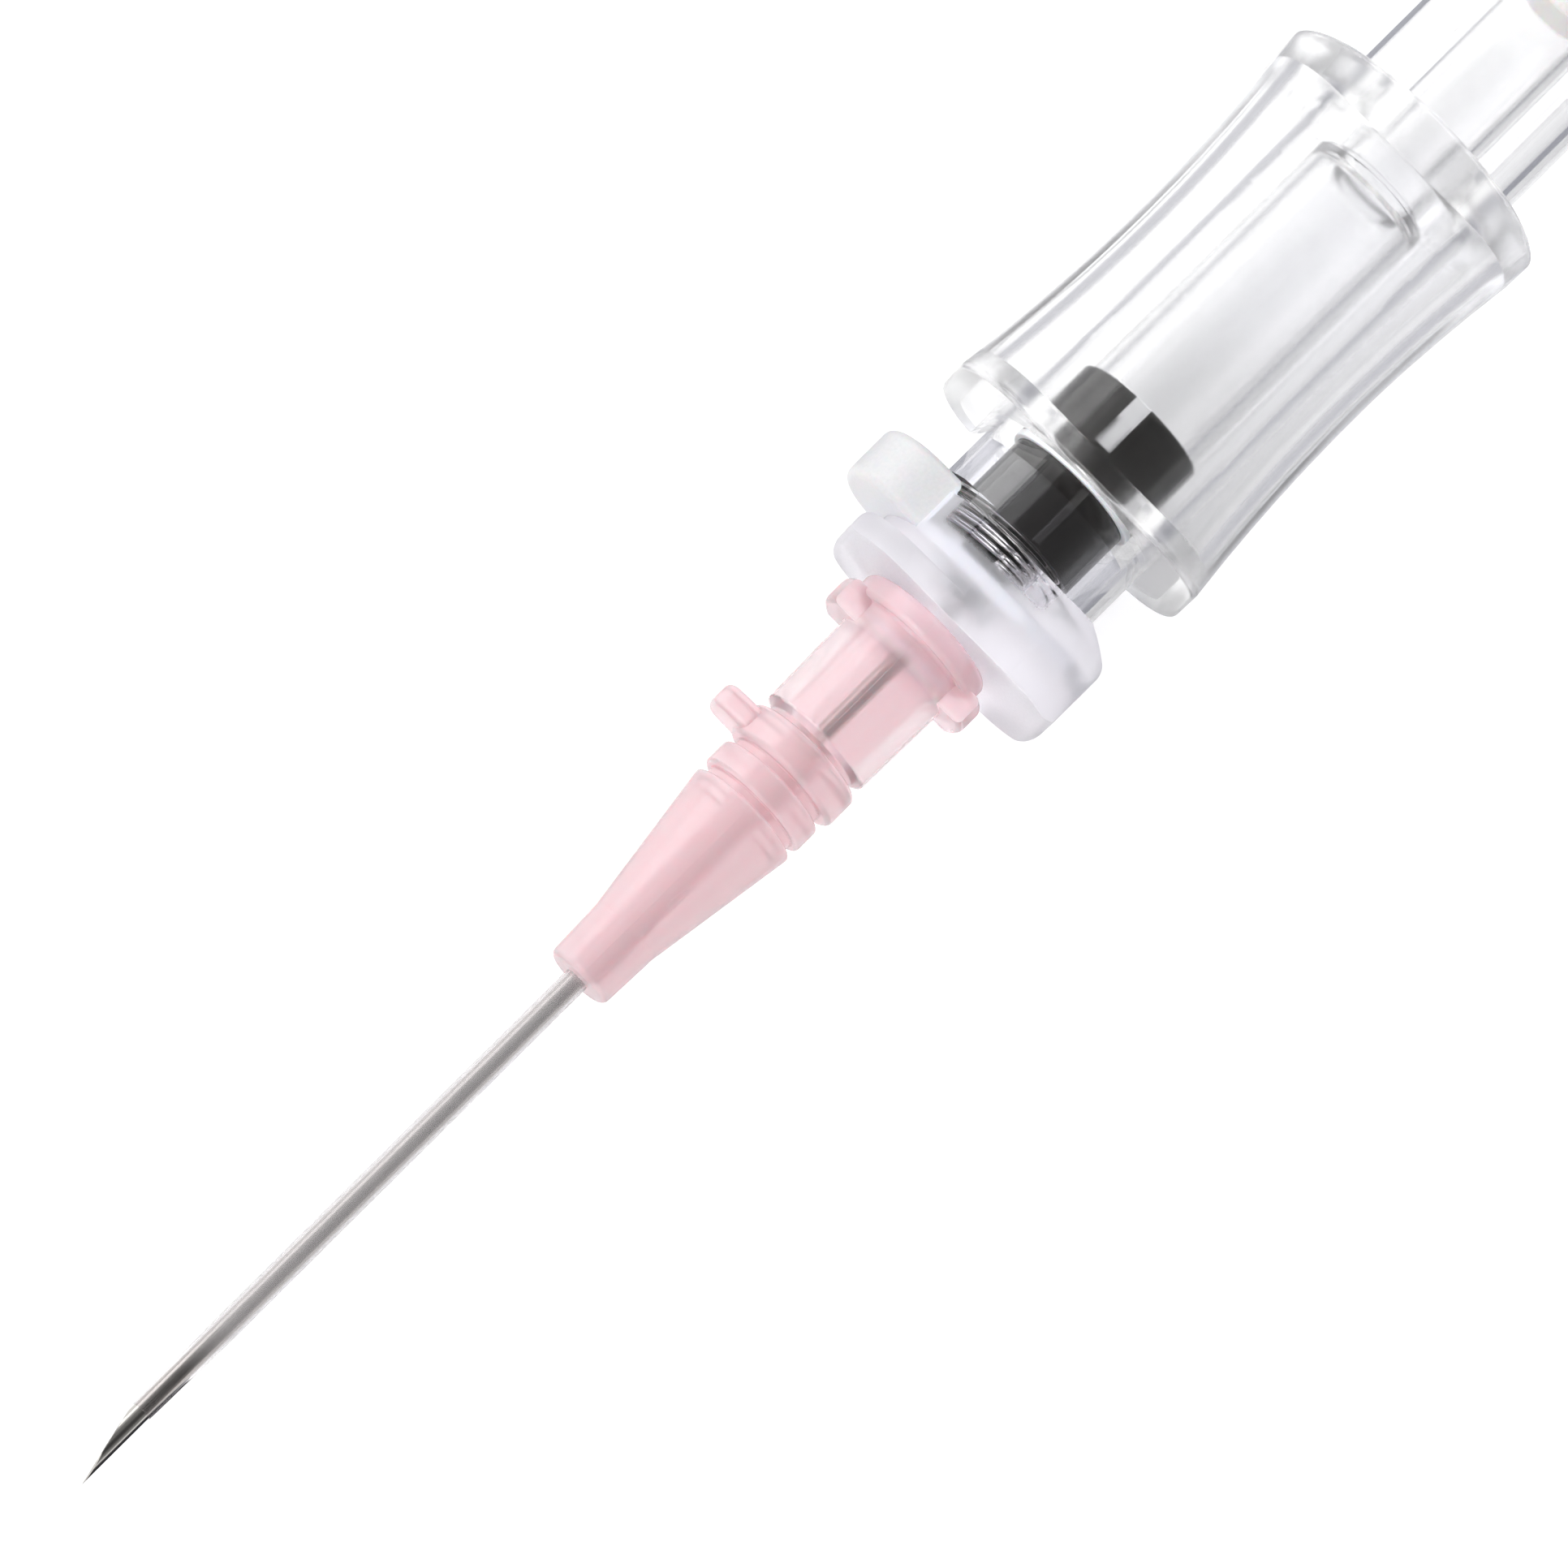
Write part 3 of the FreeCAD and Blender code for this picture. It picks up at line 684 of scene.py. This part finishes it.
def hub_plastic():
    """Translucent pink polypropylene: milky where it is thick, clearer in the thin neck."""
    material, tree, output = new_material("polypropylene_moulded_pink")
    noise = grain(tree, PINK_GRAIN)
    middle = (NECK_FRONT + NECK_REAR) / 2 * MM
    half = (NECK_REAR - NECK_FRONT) / 2 * MM
    from_middle = add_node(
        tree, "ShaderNodeMath", {0: place_on_object(tree)["X"], 1: middle}, operation="SUBTRACT"
    )
    away = add_node(tree, "ShaderNodeMath", {0: from_middle.outputs[0]}, operation="ABSOLUTE")
    ramp = {
        "Value": away.outputs[0],
        "From Min": half - NECK_EDGE / 2 * MM,
        "From Max": half + NECK_EDGE / 2 * MM,
    }
    thin = add_node(
        tree, "ShaderNodeMapRange", {**ramp, "To Min": NECK_CLEARNESS, "To Max": CONE_CLEARNESS}
    )
    rough = add_node(
        tree,
        "ShaderNodeMapRange",
        {**ramp, "To Min": NECK_GLOSS, "To Max": spread(tree, noise, *CONE_GLOSS)},
    )
    colour = add_node(
        tree,
        "ShaderNodeMix",
        {0: thin.outputs[0], 6: linear("#F6CFD5"), 7: linear("#F7ECEE")},
        data_type="RGBA",
    )
    body = add_node(
        tree,
        "ShaderNodeBsdfPrincipled",
        {
            "Base Color": colour.outputs[2],
            "Roughness": rough.outputs[0],
            "IOR": 1.49,
            "Transmission Weight": thin.outputs[0],
            "Subsurface Weight": 1.0,
            "Subsurface Radius": PINK_SPREAD,
            "Subsurface Scale": PINK_DEPTH * MM,
        },
    )
    let_light_through(tree, body, output, "#FCF6F7")
    return material


pink = hub_plastic()
print("hub is clearer from", NECK_FRONT, "to", NECK_REAR, "mm")

# %% [markdown]
# ## Catheter film
# A fluoropolymer tube, a quarter of a millimetre thick, drawn over a mandrel. It is cloudy like thin
# milk glass, so the needle inside shows as a soft grey core with paler edges. Its index is low, and
# it has hardly any shine. Its tip is drawn out so thin that it turns clear, and no edge is seen where
# it ends on the steel, so haze and roughness fade out towards the tip.

# %% Fluoropolymer tube
FILM_CLEAR_TO = -62.5
FILM_CLOUDY_FROM = -60.0
FILM_GLOSS = 0.04
FILM_CLOUD = (0.15, 0.25)
FILM_CLEARNESS = 0.85
FILM_LINES = 0.08
FILM_LINE_DEPTH = 0.0003


def film_plastic():
    """Cloudy fluoropolymer with faint lines along the tube."""
    material, tree, output = new_material("fluoropolymer_drawn_tube")
    noise = grain(tree, FILM_LINES, ALONG)
    ramp = {
        "Value": place_on_object(tree)["X"],
        "From Min": FILM_CLEAR_TO * MM,
        "From Max": FILM_CLOUDY_FROM * MM,
    }
    cloudy = add_node(
        tree,
        "ShaderNodeMapRange",
        {**ramp, "To Min": FILM_GLOSS, "To Max": spread(tree, noise, *FILM_CLOUD)},
    )
    passing = add_node(
        tree, "ShaderNodeMapRange", {**ramp, "To Min": 1.0, "To Max": FILM_CLEARNESS}
    )
    body = add_node(
        tree,
        "ShaderNodeBsdfPrincipled",
        {
            "Base Color": linear("#F1EFF0"),
            "Roughness": cloudy.outputs[0],
            "IOR": 1.34,
            "Transmission Weight": passing.outputs[0],
            "Normal": relief(tree, noise, FILM_LINE_DEPTH),
        },
    )
    let_light_through(tree, body, output, "#E8E8E8")
    return material


film = film_plastic()
print("film:", film.name)

# %% [markdown]
# ## Metals
# The needle is stainless tube, drawn through a die and ground to its point: bright, with very fine
# lines along it. The real lines are a few thousandths of a millimetre, too fine for any render, and
# are drawn here at 0.05 mm. The spring's wire is brighter, and the eyelet is pressed sheet, duller
# and a little warm. All three keep the shader's own metal index.

# %% Steel
def steel(name, hex_colour, rough, size, depth, stretch=EVEN):
    """A bare metal with the lines or the skin that its forming left."""
    material, tree, output = new_material(name)
    noise = grain(tree, size, stretch)
    body = add_node(
        tree,
        "ShaderNodeBsdfPrincipled",
        {
            "Base Color": linear(hex_colour),
            "Metallic": 1.0,
            "Roughness": spread(tree, noise, *rough),
            "Normal": relief(tree, noise, depth),
        },
    )
    tree.links.new(body.outputs[0], output.inputs["Surface"])
    return material


needle_steel = steel(
    "stainless_drawn_tube", "#C9C6C2", rough=(0.14, 0.26), size=0.05, depth=0.0008, stretch=ALONG
)
spring_steel = steel("spring_wire_bright", "#DAD8D6", rough=(0.1, 0.2), size=0.1, depth=0.0005)
eyelet_steel = steel(
    "stainless_pressed_sheet", "#A2968A", rough=(0.29, 0.4), size=0.1, depth=0.002
)
print("metals:", needle_steel.name, spring_steel.name, eyelet_steel.name)

# %% [markdown]
# ## Opaque plastics
# The needle hub is black ABS from a polished tool, the button white acetal from a finely eroded one,
# and the vent plug is polyethylene powder baked until its grains stick, which looks like very fine
# sugar. They share one function, because they differ only in colour, gloss and grain, and in how far
# light spreads inside the two white ones.

# %% Moulded and sintered
MILKY_DEPTH = 0.5  # how far light spreads inside, in millimetres


def opaque_plastic(name, hex_colour, darker_hex, rough, size, depth, milky=0.0):
    """An opaque plastic whose colour and gloss vary a little with its grain."""
    material, tree, output = new_material(name)
    noise = grain(tree, size)
    colour = add_node(
        tree,
        "ShaderNodeMix",
        {0: spread(tree, noise, 0.0, 1.0), 6: linear(darker_hex), 7: linear(hex_colour)},
        data_type="RGBA",
    )
    body = add_node(
        tree,
        "ShaderNodeBsdfPrincipled",
        {
            "Base Color": colour.outputs[2],
            "Roughness": spread(tree, noise, *rough),
            "Subsurface Weight": milky,
            "Subsurface Scale": MILKY_DEPTH * MM,
            "Normal": relief(tree, noise, depth),
        },
    )
    tree.links.new(body.outputs[0], output.inputs["Surface"])
    return material


black = opaque_plastic(
    "abs_moulded_black", "#14100E", "#0E0B0A", rough=(0.16, 0.25), size=0.5, depth=0.002
)
white = opaque_plastic(
    "acetal_moulded_white",
    "#F0F0F2",
    "#EAEBED",
    rough=(0.35, 0.45),
    size=0.15,
    depth=0.003,
    milky=0.3,
)
plug = opaque_plastic(
    "polyethylene_sintered_white",
    "#FAF9F6",
    "#EBE9E4",
    rough=(0.8, 0.95),
    size=0.15,
    depth=0.05,
    milky=0.8,
)
print("opaque plastics:", black.name, white.name, plug.name)

# %% [markdown]
# ## Dressing the solids
# Each solid of the frame gets its finish, and all but the spring keep their shape. Thirteen calls
# would do, but a loop over one table of names is shorter, and its print shows at a glance that no
# solid was forgotten.

# %% Finishes on the frame's solids
FINISHES = {
    "needle": needle_steel,
    "catheter_tube": film,
    "catheter_eyelet": eyelet_steel,
    "catheter_hub": pink,
    "nose_housing": clear_housing,
    "push_button": white,
    "needle_hub": black,
    "flash_chamber": clear_chamber,
    "vent_plug": plug,
    "retract_spring": spring_steel,
    "barrel_tube": clear_barrel,
    "grip_sleeve": clear_grip,
    "end_cap": clear_grip,
}
for node, material in FINISHES.items():
    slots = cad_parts[node].data.materials
    slots.clear()
    slots.append(material)
print("dressed", len(FINISHES), "of", len(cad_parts), "solids")

# %% [markdown]
# ## Retraction spring
# A compression spring is wire wound on a mandrel, with its end turns pressed shut. A curve with a
# bevel could follow a helix, but a spin with a step along its axis winds the wire as the machine
# does: a ring of the wire's section goes round, and the step gives the pitch. When the needle shoots
# back, the spring grows to many times its length. One coil that stretches along its axis would turn
# the wire into a wide band. So the open part is wound in short arcs, as one helper makes them.

# %% Wind a stretch of wire
WIRE = 0.36
COIL_RADIUS = 2.37
WIRE_SIDES = 12
STEPS_A_TURN = 32


def on_coil(turn):
    """The wire's middle, in millimetres, after that many turns, as seen along the axis."""
    swung = Matrix.Rotation(math.tau * turn, 3, "X") @ Vector((0, 0, COIL_RADIUS))
    return swung + Vector((0, 0, AXIS_Z))


def wind(name, front, first_turn, turns, pitch):
    """A closed stretch of wire that starts at a place on the axis and after that many turns."""
    bm = bmesh.new()
    round_axis = Matrix.Rotation(math.tau * first_turn, 4, "X")
    across_wire = Matrix.Rotation(math.radians(90), 4, "X")
    place = Matrix.Translation(on_coil(first_turn) + Vector((front, 0, 0)))
    ring = bmesh.ops.create_circle(
        bm, segments=WIRE_SIDES, radius=WIRE / 2, matrix=place @ round_axis @ across_wire
    )
    first_rim = list({edge for vert in ring["verts"] for edge in vert.link_edges})
    steps = round(turns * STEPS_A_TURN)
    wound = bmesh.ops.spin(
        bm,
        geom=list(first_rim),
        cent=(0, 0, AXIS_Z),
        axis=(1, 0, 0),
        dvec=(turns * pitch / steps, 0, 0),
        angle=math.tau * turns,
        steps=steps,
    )
    last_rim = [part for part in wound["geom_last"] if isinstance(part, bmesh.types.BMEdge)]
    for rim in (first_rim, last_rim):
        bmesh.ops.edgeloop_fill(bm, edges=rim)
    bmesh.ops.recalc_face_normals(bm, faces=bm.faces)
    for face in bm.faces:
        face.smooth = len(face.verts) == 4  # the two faces that close the ends stay flat
    bmesh.ops.scale(bm, vec=(MM, MM, MM), verts=bm.verts)
    stretch = add_object(bm, name, spring_steel)
    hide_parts("retract_spring")
    return stretch


print("wire of", WIRE, "mm, coil of", round(2 * COIL_RADIUS + WIRE, 2), "mm")

# %% [markdown]
# ## How the spring is carried
# The shut turn in front stays with the housing, and the one behind goes with the needle hub. Between
# them the open part is wound in arcs of about a third of a turn each, which stay where they were
# wound.

# %% Wind the spring
OPEN_TURNS = 9.5
CLOSED_TURNS = 1.0
SHUT_GAP = 1.02  # shut turns lie this many wires apart, so that they only just touch
ARCS = 28

low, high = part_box("retract_spring")
spring_front = low[0] / MM + WIRE / 2
spring_rear = high[0] / MM - WIRE / 2
closed_pitch = SHUT_GAP * WIRE
open_length = spring_rear - spring_front - 2 * CLOSED_TURNS * closed_pitch
open_pitch = open_length / OPEN_TURNS


front_turn = wind("spring_front_turn", spring_front, 0.0, CLOSED_TURNS, closed_pitch)
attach(front_turn, "handle")
arc_turns = OPEN_TURNS / ARCS
open_front = spring_front + CLOSED_TURNS * closed_pitch
for number in range(ARCS):
    turn = CLOSED_TURNS + number * arc_turns
    front = open_front + number * arc_turns * open_pitch
    arc = wind(f"spring_arc_{number + 1:02d}", front, turn, arc_turns, open_pitch)
    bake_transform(arc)
rear_front = open_front + OPEN_TURNS * open_pitch
rear_turn = wind(
    "spring_rear_turn", rear_front, CLOSED_TURNS + OPEN_TURNS, CLOSED_TURNS, closed_pitch
)
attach(rear_turn, "needle_carriage")
print("open pitch in millimetres:", round(open_pitch, 3), "in", ARCS, "arcs")

# %% [markdown]
# ## Painted light on the black hub
# Where the hub's sleeve meets its socket, a thin pale line runs all the way round. It is painted
# light: a ring of the same white plastic as the button stands in for that bright line. A torus would
# be the quick way, but such a ring is flat on its outside, with broken edges. So a small rectangle is
# bevelled at its corners and spun once round.

# %% Turn the ring of painted light
RING_MIDDLE = -10.32
RING_RADIUS = 3.05
RING_WIDTH = 0.34
RING_THICKNESS = 0.3
RING_EDGE = 0.06
RING_STEPS = 96
RING_MERGE = 0.001  # points nearer than this are one, in millimetres

bm = bmesh.new()
bmesh.ops.create_grid(bm, x_segments=1, y_segments=1, size=0.5)
bmesh.ops.scale(bm, vec=(RING_WIDTH, RING_THICKNESS, 1), verts=bm.verts)
bmesh.ops.bevel(
    bm,
    geom=list(bm.verts),
    offset=RING_EDGE,
    segments=3,
    profile=0.5,
    affect="VERTICES",
    material=-1,
)
bmesh.ops.rotate(bm, matrix=Matrix.Rotation(math.radians(90), 3, "X"), verts=bm.verts)
bmesh.ops.translate(bm, vec=(RING_MIDDLE, 0, AXIS_Z + RING_RADIUS), verts=bm.verts)
section_edges = list(bm.edges)
bmesh.ops.delete(bm, geom=list(bm.faces), context="FACES_ONLY")
bmesh.ops.spin(
    bm,
    geom=section_edges,
    cent=(0, 0, AXIS_Z),
    axis=(1, 0, 0),
    angle=math.tau,
    steps=RING_STEPS,
    use_merge=True,
)
bmesh.ops.remove_doubles(bm, verts=bm.verts, dist=RING_MERGE)
bmesh.ops.recalc_face_normals(bm, faces=bm.faces)
for face in bm.faces:
    face.smooth = True
bmesh.ops.scale(bm, vec=(MM, MM, MM), verts=bm.verts)
# Painted light: this white ring stands in for the bright line at the joint of sleeve and socket.
painted_light_ring = add_object(bm, "hub_painted_light_ring", white)
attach(painted_light_ring, "needle_carriage")
loose_edges = sum(1 for edge in painted_light_ring.data.edges if edge.is_loose)
print("ring:", len(painted_light_ring.data.polygons), "faces, loose edges", loose_edges)
